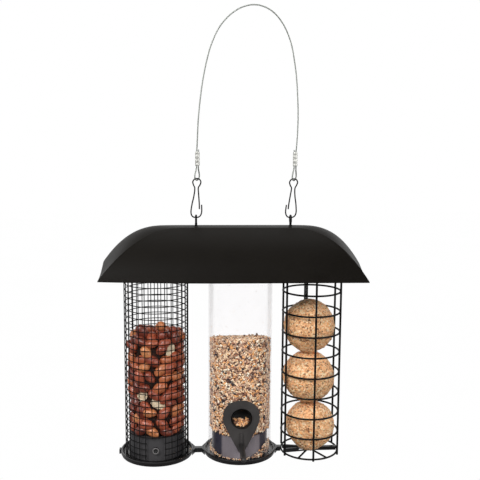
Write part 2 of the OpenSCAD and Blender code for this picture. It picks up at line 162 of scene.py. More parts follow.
def closed_faces(around, rows):
    """The same with a face over each end."""
    return band_faces(around, rows) + [tuple(range(around))[::-1],
                                       tuple(rows * around + k for k in range(around))]


def tube_mesh(path, radius, sides, twist=0.0, offset=0.0, start_angle=0.0):
    """A round tube along path. With an offset it winds round the path, twist radians a metre."""
    rings, run = [], 0.0
    frames = frames_along(path)
    for i, point in enumerate(path):
        if i:
            run += (point - path[i - 1]).length
        _, side, top = frames[i]
        wind = start_angle + twist * run
        centre = point + offset * (math.cos(wind) * side + math.sin(wind) * top)
        rings.append([centre + radius * (math.cos(a) * side + math.sin(a) * top)
                      for a in (2 * math.pi * k / sides for k in range(sides))])
    verts = [v for ring in rings for v in ring]
    faces = [[i * sides + k, (i + 1) * sides + k, (i + 1) * sides + (k + 1) % sides,
              i * sides + (k + 1) % sides]
             for i in range(len(rings) - 1) for k in range(sides)]
    faces.append(list(range(sides)))
    faces.append([(len(rings) - 1) * sides + k for k in range(sides)][::-1])
    return verts, faces


# ---------------------------------------- materials


class Nodes:
    """A short way to write a node tree: each call makes a node and returns it."""

    def __init__(self, name):
        self.material = bpy.data.materials.new(name)
        self.material.use_nodes = True
        self.tree = self.material.node_tree
        self.tree.nodes.clear()
        self.output = self.tree.nodes.new("ShaderNodeOutputMaterial")
        self.coords = self.tree.nodes.new("ShaderNodeTexCoord").outputs["Object"]

    def link(self, a, b):
        self.tree.links.new(a, b)

    def noise(self, scale, detail=3.0, rough=0.5):
        n = self.tree.nodes.new("ShaderNodeTexNoise")
        n.inputs["Scale"].default_value = scale
        n.inputs["Detail"].default_value = detail
        n.inputs["Roughness"].default_value = rough
        self.link(self.coords, n.inputs["Vector"])
        return n.outputs["Fac"]

    def cells(self, scale, output="Distance"):
        n = self.tree.nodes.new("ShaderNodeTexVoronoi")
        n.inputs["Scale"].default_value = scale
        self.link(self.coords, n.inputs["Vector"])
        return n.outputs[output]

    def ramp(self, value, *stops, constant=False):
        n = self.tree.nodes.new("ShaderNodeValToRGB")
        n.color_ramp.interpolation = "CONSTANT" if constant else "LINEAR"
        elements = n.color_ramp.elements
        while len(elements) < len(stops):
            elements.new(0.5)
        for element, (place, colour) in zip(elements, stops):
            element.position = place
            element.color = (*colour, 1.0)
        self.link(value, n.inputs["Fac"])
        return n.outputs["Color"]

    def level(self, value, low, high, from_low=0.0, from_high=1.0):
        n = self.tree.nodes.new("ShaderNodeMapRange")
        n.inputs["From Min"].default_value = from_low
        n.inputs["From Max"].default_value = from_high
        n.inputs["To Min"].default_value = low
        n.inputs["To Max"].default_value = high
        self.link(value, n.inputs["Value"])
        return n.outputs["Result"]

    def mix(self, a, b, factor, blend="MIX"):
        n = self.tree.nodes.new("ShaderNodeMix")
        n.data_type = "RGBA"
        n.blend_type = blend
        for socket, value in (("Factor", factor), ("A", a), ("B", b)):
            socket = [s for s in n.inputs if s.name == socket and s.enabled][0]
            if isinstance(value, (int, float)):
                socket.default_value = value
            elif isinstance(value, tuple):
                socket.default_value = (*value, 1.0)
            else:
                self.link(value, socket)
        return [s for s in n.outputs if s.enabled][0]

    def math(self, operation, a, b):
        n = self.tree.nodes.new("ShaderNodeMath")
        n.operation = operation
        for socket, value in zip(n.inputs, (a, b)):
            if isinstance(value, (int, float)):
                socket.default_value = value
            else:
                self.link(value, socket)
        return n.outputs[0]

    def bump(self, height, distance, strength=1.0):
        n = self.tree.nodes.new("ShaderNodeBump")
        n.inputs["Distance"].default_value = distance
        n.inputs["Strength"].default_value = strength
        self.link(height, n.inputs["Height"])
        return n.outputs["Normal"]

    def attribute(self, name):
        n = self.tree.nodes.new("ShaderNodeAttribute")
        n.attribute_name = name
        return n.outputs["Fac"]

    def surface(self, colour, roughness=0.5, normal=None, metallic=0.0, specular=0.5, **more):
        n = self.tree.nodes.new("ShaderNodeBsdfPrincipled")
        for name, value in (("Base Color", colour), ("Roughness", roughness)):
            if isinstance(value, (int, float)):
                n.inputs[name].default_value = value
            elif isinstance(value, tuple):
                n.inputs[name].default_value = (*value, 1.0)
            else:
                self.link(value, n.inputs[name])
        n.inputs["Metallic"].default_value = metallic
        n.inputs["Specular IOR Level"].default_value = specular
        for name, value in more.items():
            n.inputs[name.replace("_", " ").title()].default_value = value
        if normal is not None:
            self.link(normal, n.inputs["Normal"])
        return n.outputs["BSDF"]

    def done(self, shader):
        self.link(shader, self.output.inputs["Surface"])
        return self.material


def roof_paint():
    n = Nodes("roof_paint")
    cloud = n.noise(14, 4, 0.55)
    grain = n.noise(1500, 2)
    dust = n.noise(240, 6, 0.7)
    colour = n.mix(n.ramp(cloud, (0.3, (0.003, 0.0022, 0.0013)), (0.7, (0.0048, 0.0037, 0.0025))),
                   (0.013, 0.011, 0.009), n.level(dust, 0.0, 0.25, 0.55, 0.85))
    rough = n.level(n.math("ADD", cloud, n.math("MULTIPLY", dust, 0.4)), 0.36, 0.52, 0.35, 1.0)
    normal = n.bump(grain, 0.00008, 0.5)
    return n.done(n.surface(colour, rough, normal, specular=0.07))


def black_paint(name, tone, rough_low, rough_high):
    """Powder coat on wire: slightly lumpy, with paler rubbed spots."""
    n = Nodes(name)
    lumps = n.noise(700, 3)
    rub = n.noise(90, 5, 0.65)
    colour = n.ramp(rub, (0.45, (tone, tone, tone * 1.05)), (0.8, (tone * 3, tone * 2.9, tone * 2.8)))
    rough = n.level(lumps, rough_low, rough_high, 0.3, 0.7)
    return n.done(n.surface(colour, rough, n.bump(lumps, 0.00012, 0.6), specular=0.14))


def moulded_plastic(name, tone, rough_low, rough_high):
    n = Nodes(name)
    fine = n.noise(2600, 2)
    flow = n.noise(45, 4, 0.6)
    dust = n.noise(420, 6, 0.75)
    colour = n.mix(n.ramp(flow, (0.35, tone), (0.75, tuple(1.5 * c for c in tone))),
                   tuple(min(3.5 * c + 0.01, 1) for c in tone), n.level(dust, 0.0, 0.4, 0.6, 0.9))
    rough = n.level(flow, rough_low, rough_high, 0.3, 0.7)
    return n.done(n.surface(colour, rough, n.bump(fine, 0.00006, 0.5), specular=0.4))


def base_plastic(name, centre_x, wall, shade):
    """Glossy black tray; the cup that stands within it is duller, in the tone wall, with painted shade in
    the tone shade on its left and right sides.
    """
    n = Nodes(name)
    flow = n.noise(45, 4, 0.6)
    dust = n.noise(420, 6, 0.75)
    fine = n.noise(2600, 2)
    place = n.tree.nodes.new("ShaderNodeSeparateXYZ")
    n.link(n.coords, place.inputs[0])
    across = n.math("SUBTRACT", place.outputs[0], centre_x)
    reach = n.math("SQRT", n.math("ADD", n.math("MULTIPLY", across, across),
                                  n.math("MULTIPLY", place.outputs[1], place.outputs[1])), 0.0)
    cup = n.math("MULTIPLY", n.level(reach, 1.0, 0.0, 0.0325, 0.033),
                 n.level(place.outputs[2], 0.0, 1.0, 0.0032, 0.0042))
    # Painted shade: the cup's left and right sides, as seen from the front, turn to the darker tone
    # shade.
    side = n.level(n.math("ABSOLUTE", across, 0.0), 0.0, 1.0, 0.0205, 0.0225)
    tray = n.mix(n.ramp(flow, (0.35, TRAY_BLACK), (0.75, tuple(1.6 * c for c in TRAY_BLACK))),
                 (0.05, 0.05, 0.052), n.level(dust, 0.0, 0.3, 0.6, 0.9))
    inner = n.mix(n.ramp(flow, (0.35, wall), (0.75, tuple(1.25 * c for c in wall))), shade, side)
    colour = n.mix(tray, inner, cup)
    rough = n.math("ADD", n.level(flow, 0.1, 0.18, 0.3, 0.7), n.math("MULTIPLY", cup, 0.3))
    return n.done(n.surface(colour, rough, n.bump(fine, 0.00005, 0.5), specular=0.5))


def bare_metal(name, colour, rough, scratch_scale):
    n = Nodes(name)
    smear = n.noise(scratch_scale, 4, 0.6)
    tone = n.ramp(smear, (0.3, tuple(0.7 * c for c in colour)), (0.7, colour))
    return n.done(n.surface(tone, n.level(smear, rough * 0.8, rough * 1.3, 0.3, 0.7),
                            n.bump(smear, 0.00006, 0.5), metallic=1.0))


def clear_plastic():
    """Thin clear tube: almost unseen face on, paler at its edges, with dust specks and scuffs."""
    n = Nodes("clear_plastic")
    specks = n.cells(420)
    patch = n.noise(60, 3)
    speck = n.math("MULTIPLY", n.level(specks, 1.0, 0.0, 0.05, 0.12),
                   n.level(patch, 0.0, 1.0, 0.5, 0.62))
    scuff = n.noise(55, 5, 0.7)
    gloss = n.surface((0.8, 0.78, 0.79), 0.1, n.bump(scuff, 0.0002, 0.12), specular=0.4)
    haze = n.math("ADD", n.level(scuff, 0.002, 0.014, 0.35, 0.7), n.math("MULTIPLY", speck, 0.3))
    edge = n.tree.nodes.new("ShaderNodeLayerWeight")
    edge.inputs["Blend"].default_value = 0.12
    cover = n.math("ADD", haze, n.math("MULTIPLY", edge.outputs["Fresnel"], 0.16))
    blend = n.tree.nodes.new("ShaderNodeMixShader")
    clear = n.tree.nodes.new("ShaderNodeBsdfTransparent")
    clear.inputs["Color"].default_value = (0.998, 0.996, 0.997, 1)
    n.link(cover, blend.inputs[0])
    n.link(clear.outputs[0], blend.inputs[1])
    n.link(gloss, blend.inputs[2])
    return n.done(blend.outputs[0])


def peanut_skin():
    """Red-brown papery skin, greasy enough to shine, with fine veins and paler rubbed places."""
    n = Nodes("peanut_skin")
    tint = n.attribute("tint")
    blotch = n.noise(260, 4, 0.6)
    veins = n.noise(1000, 5, 0.7)
    base = n.ramp(tint, (0.0, (0.15, 0.027, 0.014)), (0.3, (0.29, 0.056, 0.028)),
                  (0.6, (0.43, 0.096, 0.044)), (0.82, (0.56, 0.16, 0.06)), (1.0, (0.7, 0.27, 0.1)))
    colour = n.mix(base, (0.07, 0.016, 0.009), n.level(veins, 0.6, 0.0, 0.3, 0.46))
    colour = n.mix(colour, (0.7, 0.32, 0.2), n.level(blotch, 0.0, 0.45, 0.58, 0.78))
    return n.done(n.surface(colour, n.level(blotch, 0.25, 0.42), n.bump(veins, 0.0003, 0.5),
                            specular=0.7))


def peanut_flesh():
    n = Nodes("peanut_flesh")
    blotch = n.noise(400, 4, 0.6)
    colour = n.ramp(blotch, (0.3, (0.7, 0.5, 0.3)), (0.55, (0.87, 0.73, 0.52)),
                    (0.8, (0.93, 0.84, 0.66)))
    return n.done(n.surface(colour, 0.5, n.bump(blotch, 0.0003, 0.5), specular=0.4))


GRAIN_STOPS = (
    (0.0, (0.02, 0.012, 0.018)), (0.09, (0.12, 0.045, 0.025)), (0.19, (0.34, 0.14, 0.07)),
    (0.31, (0.86, 0.42, 0.15)), (0.44, (0.82, 0.52, 0.31)), (0.58, (0.6, 0.37, 0.25)),
    (0.71, (0.94, 0.7, 0.46)), (0.87, (1.0, 0.9, 0.72)))


def grain_skin():
    """Mixed corn: each grain has its own colour from its tint, streaked and mottled."""
    n = Nodes("grain_skin")
    tint = n.attribute("tint")
    streak = n.noise(1400, 4, 0.6)
    blotch = n.noise(500, 3)
    colour = n.mix(n.ramp(tint, *GRAIN_STOPS, constant=True), (0.12, 0.045, 0.025),
                   n.level(streak, 0.4, 0.0, 0.34, 0.5))
    colour = n.mix(colour, (1.0, 0.88, 0.7), n.level(blotch, 0.0, 0.3, 0.55, 0.8))
    return n.done(n.surface(colour, n.level(streak, 0.28, 0.5), n.bump(streak, 0.0002, 0.5),
                            specular=0.5))


def core_painted_shade():
    """Painted shade: a near-black sheet for the unlit depth of the seed column and of the peanut heap."""
    n = Nodes("core_painted_shade")
    blotch = n.noise(500, 4, 0.6)
    return n.done(n.surface(n.ramp(blotch, (0.35, (0.012, 0.005, 0.004)), (0.7, (0.05, 0.02, 0.012))),
                            0.8, n.bump(blotch, 0.0008, 0.8), specular=0.2))


def suet():
    """Pressed fat full of meal: tan and greasy, speckled dark, orange and cream by its crumbs, with
    painted shade in the hollows of its fine relief.
    """
    n = Nodes("suet")
    crumb = n.cells(600, "Color")
    crumb_edge = n.cells(600)
    split = n.tree.nodes.new("ShaderNodeSeparateColor")
    n.link(crumb, split.inputs[0])
    soft = n.noise(110, 5, 0.6)
    fine = n.noise(1100, 4, 0.7)
    colour = n.ramp(split.outputs[0], (0.0, (0.12, 0.05, 0.03)), (0.08, (0.42, 0.18, 0.08)),
                    (0.22, (0.76, 0.36, 0.15)), (0.5, (0.97, 0.53, 0.26)), (0.78, (1.0, 0.65, 0.36)),
                    (0.92, (1.0, 0.87, 0.6)), (1.0, (1.0, 0.4, 0.1)))
    colour = n.mix(colour, (0.9, 0.52, 0.27), n.level(soft, 0.0, 0.3, 0.35, 0.65))
    # Painted shade: darker where the fine relief is low, in the hollows of the bump.
    colour = n.mix(colour, (0.24, 0.12, 0.065), n.level(fine, 0.85, 0.0, 0.3, 0.43))
    height = n.math("ADD", n.math("MULTIPLY", crumb_edge, -0.6), fine)
    return n.done(n.surface(colour, n.level(fine, 0.45, 0.7), n.bump(height, 0.0011, 0.9),
                            specular=0.3, subsurface_weight=0.06, subsurface_scale=0.002))


def floor_paint():
    """Even white where the camera sees it; it throws only a little light back at the object."""
    n = Nodes("floor_paint")
    tone = n.ramp(n.noise(3, 3), (0.3, (0.995, 0.995, 0.995)), (0.7, (1, 1, 1)))
    shown = n.tree.nodes.new("ShaderNodeEmission")
    n.link(tone, shown.inputs["Color"])
    dim = n.surface(n.mix(tone, (0.16, 0.16, 0.16), 1.0, "MULTIPLY"), 0.9, specular=0.1)
    rays = n.tree.nodes.new("ShaderNodeLightPath")
    blend = n.tree.nodes.new("ShaderNodeMixShader")
    n.link(rays.outputs["Is Camera Ray"], blend.inputs[0])
    n.link(dim, blend.inputs[1])
    n.link(shown.outputs[0], blend.inputs[2])
    return n.done(blend.outputs[0])


TRAY_BLACK = (0.006, 0.0055, 0.006)
ROOF_PAINT = roof_paint()
WIRE_PAINT = black_paint("wire_paint", 0.004, 0.4, 0.55)
CLIP_PAINT = black_paint("clip_paint", 0.003, 0.4, 0.2)
BLACK_PLASTIC = moulded_plastic("black_plastic", (0.01, 0.01, 0.011), 0.22, 0.34)
# Lighter than the cup it belongs to: a painted highlight on the socket's raised rim.
RING_HIGHLIGHT_PLASTIC = moulded_plastic("ring_painted_highlight", (0.1, 0.095, 0.095), 0.3, 0.4)
# Near-black lining of the ports' necks: painted shade.
THROAT_SHADE = moulded_plastic("throat_painted_shade", (0.006, 0.0055, 0.005), 0.6, 0.75)
# Both cups get painted shade on their sides: dark blue on the seed cup, close to the wall tone on the nut
# cup.
NUT_BASE_PLASTIC = base_plastic("nut_base_plastic", NUT_X, (0.043, 0.041, 0.043), (0.038, 0.037, 0.04))
SEED_BASE_PLASTIC = base_plastic("seed_base_plastic", SEED_X, (0.17, 0.15, 0.165),
                                 (0.014, 0.0125, 0.028))
PORT_PLASTIC = moulded_plastic("port_plastic", (0.032, 0.029, 0.028), 0.42, 0.55)
PERCH_PLASTIC = moulded_plastic("perch_plastic", (0.014, 0.013, 0.0125), 0.38, 0.5)
CABLE_STEEL = bare_metal("cable_steel", (0.45, 0.47, 0.44), 0.55, 900)
FERRULE_METAL = bare_metal("ferrule_metal", (0.72, 0.72, 0.68), 0.5, 500)
ZINC = bare_metal("zinc", (0.3, 0.3, 0.31), 0.42, 400)
# Steel's own dull tone, darkened further as painted shade in the socket's bore.
STUD_SHADED_STEEL = bare_metal("stud_steel_painted_shade", (0.1, 0.1, 0.1), 0.45, 400)
CLEAR_PLASTIC = clear_plastic()
PEANUT_SKIN, PEANUT_FLESH = peanut_skin(), peanut_flesh()
# The core material is a near-black sheet of painted shade.
GRAIN_SKIN, CORE_PAINTED_SHADE, SUET = grain_skin(), core_painted_shade(), suet()

# ---------------------------------------- CAD nodes that keep their shape

CAD_LOOKS = {
    "eye_rod_left": WIRE_PAINT, "eye_rod_right": WIRE_PAINT, "roof_rest_left": ZINC,
    "roof_rest_right": ZINC, "cross_bar_left": WIRE_PAINT, "cross_bar_right": WIRE_PAINT,
    "top_rails": WIRE_PAINT, "nut_collar": BLACK_PLASTIC, "seed_collar": BLACK_PLASTIC,
    "nut_mesh_uprights": WIRE_PAINT, "nut_mesh_rings": WIRE_PAINT, "nut_base": NUT_BASE_PLASTIC,
    "lock_stud": STUD_SHADED_STEEL, "seed_tube": CLEAR_PLASTIC, "seed_base": SEED_BASE_PLASTIC,
    "port_front": PORT_PLASTIC, "port_back": PORT_PLASTIC, "perch_front": PERCH_PLASTIC,
    "perch_back": PERCH_PLASTIC, "link_left": BLACK_PLASTIC, "link_right": BLACK_PLASTIC,
    "link_end": BLACK_PLASTIC, "cage_rings": WIRE_PAINT, "cage_uprights": WIRE_PAINT,
    "cage_floor": WIRE_PAINT, "cage_bar": BLACK_PLASTIC,
}

for name, material in CAD_LOOKS.items():
    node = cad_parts[name]
    node.data.materials.clear()
    node.data.materials.append(material)

# ---------------------------------------- roof

ROOF_HALF, ROOF_DEPTH, RIM_Z = 144.5, 60, 213.4
STRIP_Z, RIDGE_Z, STRIP_HALF, SHEET = 266, 267.3, 12.8, 1.2
PANEL_BULGE, RIM_RISE = 7, 1.8
# How far the sheet hangs below its drawing in the middle, and how much further at each end.
SAG, SAG_LEFT, SAG_RIGHT = 1.1, -0.2, 2.1
# (run, power) of the creases and of the ridge at each end, and how high over the rim the ridge ends.
CREASE_LEFT, CREASE_RIGHT = (87.9, 2.31), (79.5, 2.49)
SPINE_LEFT, SPINE_RIGHT, SPINE_END = (71.9, 2.63), (69.8, 2.8), 12.6
chord = math.hypot(ROOF_DEPTH - STRIP_HALF, STRIP_Z - RIM_Z)
panel_r = (chord ** 2 / 4 + PANEL_BULGE ** 2) / (2 * PANEL_BULGE)
panel_y0 = (ROOF_DEPTH + STRIP_HALF) / 2 - (STRIP_Z - RIM_Z) / chord * (panel_r - PANEL_BULGE)
panel_z0 = (RIM_Z + STRIP_Z) / 2 - (ROOF_DEPTH - STRIP_HALF) / chord * (panel_r - PANEL_BULGE)


def panel_y(z):
    return panel_y0 + math.sqrt(panel_r ** 2 - (z - panel_z0) ** 2)


def rim(x):
    return RIM_Z + RIM_RISE * (x / ROOF_HALF) ** 2


def sagging(x, z):
    """The real sheet hangs a little lower than the drawn one, most at the rim's right end."""
    ends = (x / ROOF_HALF) ** 2
    drop = SAG + (SAG_RIGHT if x > 0 else SAG_LEFT) * ends
    return z - drop * min(max((STRIP_Z - z) / (STRIP_Z - RIM_Z), 0), 1)


def crease_z(x):
    run, power = CREASE_RIGHT if x > 0 else CREASE_LEFT
    rest = max(1 - (ROOF_HALF - abs(x)) / run, 0)
    return STRIP_Z - (STRIP_Z - rim(x) - 1) * rest ** power


def spine_z(x):
    run, power = SPINE_RIGHT if x > 0 else SPINE_LEFT
    rest = max(1 - (ROOF_HALF - abs(x)) / run, 0)
    return RIDGE_Z - (RIDGE_Z - rim(x) - SPINE_END) * rest ** power


def dent(x, z):
    """How far the front panel is pushed in: a shallow fold low on its right."""
    t = (x - 58) / 48
    if t < -0.3 or t > 1.3:
        return 0.0
    line = 229 - 9 * t - 3.5 * t * t
    fade = math.exp(-((t - 0.5) / 0.45) ** 4)
    return 0.8 * fade * math.exp(-((z - line) / 2.6) ** 2) * (1 if z < line else 0.8)


HEM_TOP, HEM_STEP = 3.2, 0.35
ARCH_ROUND = 0.12
SHARP_FROM = 14
PANEL_STEPS, STRIP_STEPS, ROOF_STATIONS = 26, 24, 90


def end_arch(s):
    """Height of the strip's end over its corners: low at its sides, drawn up to a round peak."""
    fall = math.sqrt(s * s + ARCH_ROUND ** 2) / math.sqrt(1 + ARCH_ROUND ** 2)
    return ((1 - fall) / (1 - ARCH_ROUND)) ** 2


def roof_section(x):
    low, edge, top = rim(x), crease_z(x), spine_z(x)
    half = panel_y(edge)
    front, back = [], []
    for k in range(PANEL_STEPS):
        z = low + (edge - low) * (k / PANEL_STEPS) ** 1.25
        hem = 0.0 if z - low < HEM_TOP else HEM_STEP * min((z - low - HEM_TOP) / 0.6, 1)
        front.append((-(panel_y(z) - hem - dent(x, z)), z))
        back.append((panel_y(z) - hem, z))
    end = (x / ROOF_HALF) ** 6
    strip = [(half * s, edge + (top - edge) * ((1 - end) * (1 - s * s) + end * end_arch(s)))
             for s in (2 * k / STRIP_STEPS - 1 for k in range(STRIP_STEPS + 1))]
    return front + strip + back[::-1]


def make_roof():
    loops = []
    xs = [ROOF_HALF * math.sin(math.pi / 2 * i / ROOF_STATIONS)
          for i in range(-ROOF_STATIONS, ROOF_STATIONS + 1)]
    for x in xs:
        line = roof_section(x)
        n = len(line)
        inner = []
        for i, (y, z) in enumerate(line):
            share = min(min(i, n - 1 - i) / PANEL_STEPS, 1)
            inner.append((y - math.copysign(min(SHEET, abs(y)), y) * min(abs(y) / STRIP_HALF, 1),
                          z - SHEET * share))
        x_in = x * (ROOF_HALF - SHEET) / ROOF_HALF
        loops.append([(x, y, sagging(x, z)) for y, z in line]
                     + [(x_in, y, sagging(x, z)) for y, z in inner[::-1]])
    m = len(loops[0])
    verts = [Vector(p) * MM for loop in loops for p in loop]
    faces = []
    for i in range(len(loops) - 1):
        for k in range(m):
            n = (k + 1) % m
            faces.append([i * m + k, i * m + n, (i + 1) * m + n, (i + 1) * m + k])
    for i in (0, len(loops) - 1):
        for k in range(m // 2 - 1):
            f = [i * m + k, i * m + m - 1 - k, i * m + m - 2 - k, i * m + k + 1]
            faces.append(f if i == 0 else f[::-1])
    shape = Shape()
    shape.add(verts, faces)
    piece = shape.build("roof_sheet", [ROOF_PAINT], "roof", "roof_sheet", ["roof_shell"])
    # The press leaves a sharp line between the panels and the strip.
    piece.data.set_sharp_from_angle(angle=math.radians(SHARP_FROM))
    for n, x in enumerate((EYE_LEFT_X, EYE_RIGHT_X)):
        cut_slot(piece, n, x)


SLOT_HALF_W, SLOT_HALF_L, SLOT_LOW, SLOT_HIGH = 1.8 * MM, 6 * MM, 257 * MM, 275 * MM


def cut_slot(piece, n, x):
    """Cuts the long slot that an eye comes up through."""
    cutter_mesh = bpy.data.meshes.new(f"slot_cutter_{n}")
    corners = [(x + sx * SLOT_HALF_W, sy * SLOT_HALF_L, z) for z in (SLOT_LOW, SLOT_HIGH)
               for sx, sy in ((-1, -1), (1, -1), (1, 1), (-1, 1))]
    cutter_mesh.from_pydata(corners, [], [(3, 2, 1, 0), (4, 5, 6, 7), (0, 1, 5, 4), (1, 2, 6, 5),
                                          (2, 3, 7, 6), (3, 0, 4, 7)])
    cutter = bpy.data.objects.new(f"slot_cutter_{n}", cutter_mesh)
    bpy.context.collection.objects.link(cutter)
    cut = piece.modifiers.new("slot", "BOOLEAN")
    cut.operation = "DIFFERENCE"
    cut.solver = "EXACT"
    cut.object = cutter
    bpy.context.view_layer.update()
    done = bpy.data.meshes.new_from_object(
        piece.evaluated_get(bpy.context.evaluated_depsgraph_get()))
    piece.modifiers.clear()
    piece.data = done
    bpy.data.objects.remove(cutter)


make_roof()

# ---------------------------------------- cable, its small eyes, ferrules

CABLE_ROUTE = metres([
    (-40.2, 0, 349.6), (-39.4, 0, 365), (-38.5, 0, 384), (-36.5, 0, 405), (-33.5, 0, 427),
    (-29.5, 0, 447), (-24.5, 0, 465), (-16.5, 0, 482.5), (-7, 0, 494.5), (3, 0, 502.5),
    (13, 0, 507), (22.5, 0, 508.5), (32, 0, 507), (42, 0, 502), (51, 0, 493), (58.5, 0, 480.5),
    (64, 0, 465.5), (67.5, 0, 448), (70, 0, 430), (71.5, 0, 410), (72.3, 0, 391), (72, 0, 370),
    (70.7, 0, 349.6)])
EYE_ROUTE = metres([
    (-1, 0, 333.8), (-1.3, -0.6, 330), (-2.2, -2.3, 325.5), (-2.5, -2.9, 322), (-1.7, -2, 319.2),
    (0, 0, 318), (1.7, 2, 319.2), (2.5, 2.9, 322), (2.2, 2.3, 325.5), (1.3, 0.6, 330),
    (1, 0, 333.8)])
STRANDS, LAY_LENGTH = 6, 9 * MM


def strands(path):
    """Six wires laid round a core wire."""
    shape = Shape()
    strand_r = CABLE_WIRE * 0.34
    for k in range(STRANDS):
        shape.add(*tube_mesh(path, strand_r, 6, 2 * math.pi / LAY_LENGTH, CABLE_WIRE - strand_r,
                             2 * math.pi * k / STRANDS))
    shape.add(*tube_mesh(path, strand_r, 6))
    return shape


def make_cable():
    path = smooth_route(CABLE_ROUTE, 12)
    cable = strands(path).build("cable", [CABLE_STEEL], "hanger", "steel_cable", ["hang_wire"])
    for side, head, foot in (("left", CLIP_LEFT_HEAD, FERRULE_LEFT_X),
                             ("right", CLIP_RIGHT_HEAD, FERRULE_RIGHT_X)):
        route = leaning(smooth_route(EYE_ROUTE, 8), head, 0.318, foot, FERRULE_LOW)
        strands(route).build(f"cable_eye_{side}", [CABLE_STEEL], "hanger",
                                           "steel_cable", [f"wire_eye_{side}"])
        make_ferrule(side, foot, 1 if side == "left" else -1)


def make_ferrule(side, x, tail_side):
    """An oval sleeve, pinched flat in three places, with the cable's cut end standing out."""
    shape = Shape()
    around, rows = 28, 46
    verts = []
    for j in range(rows + 1):
        t = j / rows
        z = FERRULE_LOW + t * (FERRULE_HIGH - FERRULE_LOW)
        pinch = sum(math.exp(-((t - c) / 0.075) ** 4) for c in (0.2, 0.5, 0.8))
        end = min(min(t, 1 - t) / 0.03, 1)
        round_off = 0.86 + 0.14 * math.sqrt(1 - (1 - end) ** 2)
        wide = (2.5 + 0.03 * pinch) * round_off
        deep = (1.55 - 0.14 * pinch) * round_off
        for k in range(around):
            a = 2 * math.pi * k / around
            c, s = math.cos(a), math.sin(a)
            verts.append(Vector((x + wide * MM * math.copysign(abs(c) ** 0.75, c),
                                 deep * MM * math.copysign(abs(s) ** 0.8, s), z)))
    shape.add(verts, closed_faces(around, rows))
    tail_x = x + tail_side * 1.1 * MM
    tail = [Vector((tail_x, 0, FERRULE_HIGH - 0.4 * MM)), Vector((tail_x, 0, FERRULE_HIGH + 1.2 * MM)),
            Vector((tail_x + tail_side * 0.3 * MM, 0, FERRULE_HIGH + 2.4 * MM))]
    shape.add(*tube_mesh(smooth_route(tail, 4), CABLE_WIRE * 0.95, 10), slot=1)
    return shape.build(f"ferrule_sleeve_{side}", [FERRULE_METAL, CABLE_STEEL], "hanger",
                       "ferrule", [f"ferrule_{side}"])


make_cable()

# ---------------------------------------- snap clips

# One wire, flat in its plane: gate leg, eye, back leg, hook.
CLIP_ROUTE = metres([
    (3.5, 0, 285.6), (3.2, 0, 292.4), (2.3, 0, 302.3), (1.8, 0, 309.2), (3.5, 0, 312.6),
    (4.5, 0, 316), (2.8, 0, 319.1), (0, 0, 319.8), (-2.8, 0, 319.1), (-4.5, 0, 316),
    (-3.6, 0, 312.6), (-2.1, 0, 308.6), (-3, 0, 299.9), (-4.8, 0, 291.2), (-5.8, 0, 282),
    (-4, 0, 277.4), (0, 0, 276.25), (4, 0, 277.4), (6.1, 0, 282), (5.9, 0, 290.5)])


def make_clip(side, mirror, foot, head):
    route = [Vector((mirror * p.x, mirror * p.y, p.z)) for p in CLIP_ROUTE]
    if mirror < 0:
        route.reverse()
    path = smooth_route(leaning(route, foot, CLIP_BOTTOM_Z, head, CLIP_TOP_Z), 8)
    shape = Shape()
    shape.add(*tube_mesh(path, CLIP_WIRE, 14))
    shape.build(f"snap_clip_{side}", [CLIP_PAINT], f"clip_{side}", "clip_wire", [f"clip_{side}"])


make_clip("left", 1, EYE_LEFT_X, CLIP_LEFT_HEAD)
make_clip("right", -1, EYE_RIGHT_X, CLIP_RIGHT_HEAD)

# ---------------------------------------- socket rim with painted highlight, port throats in painted shade

BOSS_Z, BOSS_FACE = 17, -36
RING_MEAN_R, RING_WIRE_R = 3.1, 0.75


def make_boss_ring():
    """The raised rim of the socket low on the nut cup, lighter than the cup as a painted highlight, round
    the bore where the stud is darkened as painted shade.
    """
    shape = Shape()
    turn, across = 36, 10
    verts, faces = [], []
    for i in range(turn):
        a = 2 * math.pi * i / turn
        for k in range(across):
            b = 2 * math.pi * k / across
            r = RING_MEAN_R + RING_WIRE_R * math.cos(b)
            y = BOSS_FACE - 0.5 * RING_WIRE_R * math.sin(b)
            verts.append(Vector((NUT_X / MM + r * math.cos(a), y, BOSS_Z + r * math.sin(a))) * MM)
            i_next, k_next = (i + 1) % turn, (k + 1) % across
            faces.append((i * across + k, i * across + k_next, i_next * across + k_next,
                          i_next * across + k))
    shape.add(verts, faces)
    shape.build("boss_ring", [RING_HIGHLIGHT_PLASTIC], "feeder", "base_plastic")


THROAT_R, THROAT_FACE, THROAT_DEPTH = 10.9, 38.2, 14


def make_throats():
    """A near-black lining in each port's neck, darker than the port plastic as painted shade, so that the
    seed behind it also lies in shade.
    """
    shape = Shape()
    around, rows = 40, 4
    for side in (-1, 1):
        verts = []
        for row in range(rows + 1):
            y = side * (THROAT_FACE - THROAT_DEPTH * row / rows)
            for k in range(around):
                a = 2 * math.pi * k / around
                verts.append(Vector((SEED_X / MM + THROAT_R * math.cos(a), y,
                                     PORT_Z / MM + THROAT_R * math.sin(a))) * MM)
        back = tuple(rows * around + k for k in range(around))
        faces = band_faces(around, rows) + [back]
        shape.add(verts, faces if side > 0 else [f[::-1] for f in faces])
    shape.build("port_throats", [THROAT_SHADE], "feeder", "port_plastic")


# ---------------------------------------- loose food

NUT_KERNEL_R, NUT_PITCH = 5.6 * MM, 10.4 * MM
NUT_ROWS, NUTS_AROUND, NUTS_INSIDE, NUT_KINDS = 20, 11, 56, 8
NUT_CORE_R = 25.5 * MM
HALF_KINDS, SPLIT_SHARE = 3, 0.05


